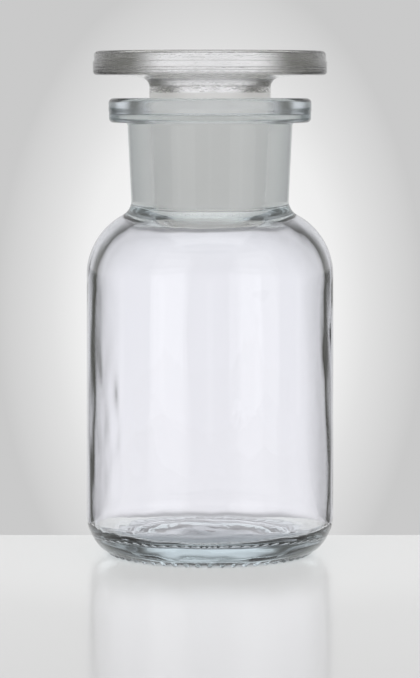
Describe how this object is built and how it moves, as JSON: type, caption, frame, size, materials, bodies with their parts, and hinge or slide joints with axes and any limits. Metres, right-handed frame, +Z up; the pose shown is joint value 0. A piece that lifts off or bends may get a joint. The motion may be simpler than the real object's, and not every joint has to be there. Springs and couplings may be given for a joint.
{
  "type": "reagent bottle",
  "caption": "Clear wide-mouth glass reagent bottle with a round shoulder, a tapered ground neck and a loose hollow disc-head stopper that lifts out.",
  "frame": {"origin": "on the plane the bottle stands on, under its axis", "axes": "+Z up along the common axis of bottle and stopper; the part is round, so +X and +Y are any two level directions"},
  "size_m": [0.07, 0.07, 0.1424],
  "materials": {
    "bottle_glass": "clear moulded soda-lime glass, faintly blue-green at thick edges, ground matt inside the neck",
    "stopper_glass": "clear pressed glass with a slightly rippled surface, ground matt on the plug"
  },
  "bodies": {
    "bottle": {"bottle": "bottle_glass"},
    "stopper": {"stopper": "stopper_glass"}
  },
  "joints": [
    {"name": "stopper_lift", "type": "slide", "parent": "bottle", "child": "stopper", "axis": [0, 0, 1], "range_m": [0, 0.08]}
  ]
}
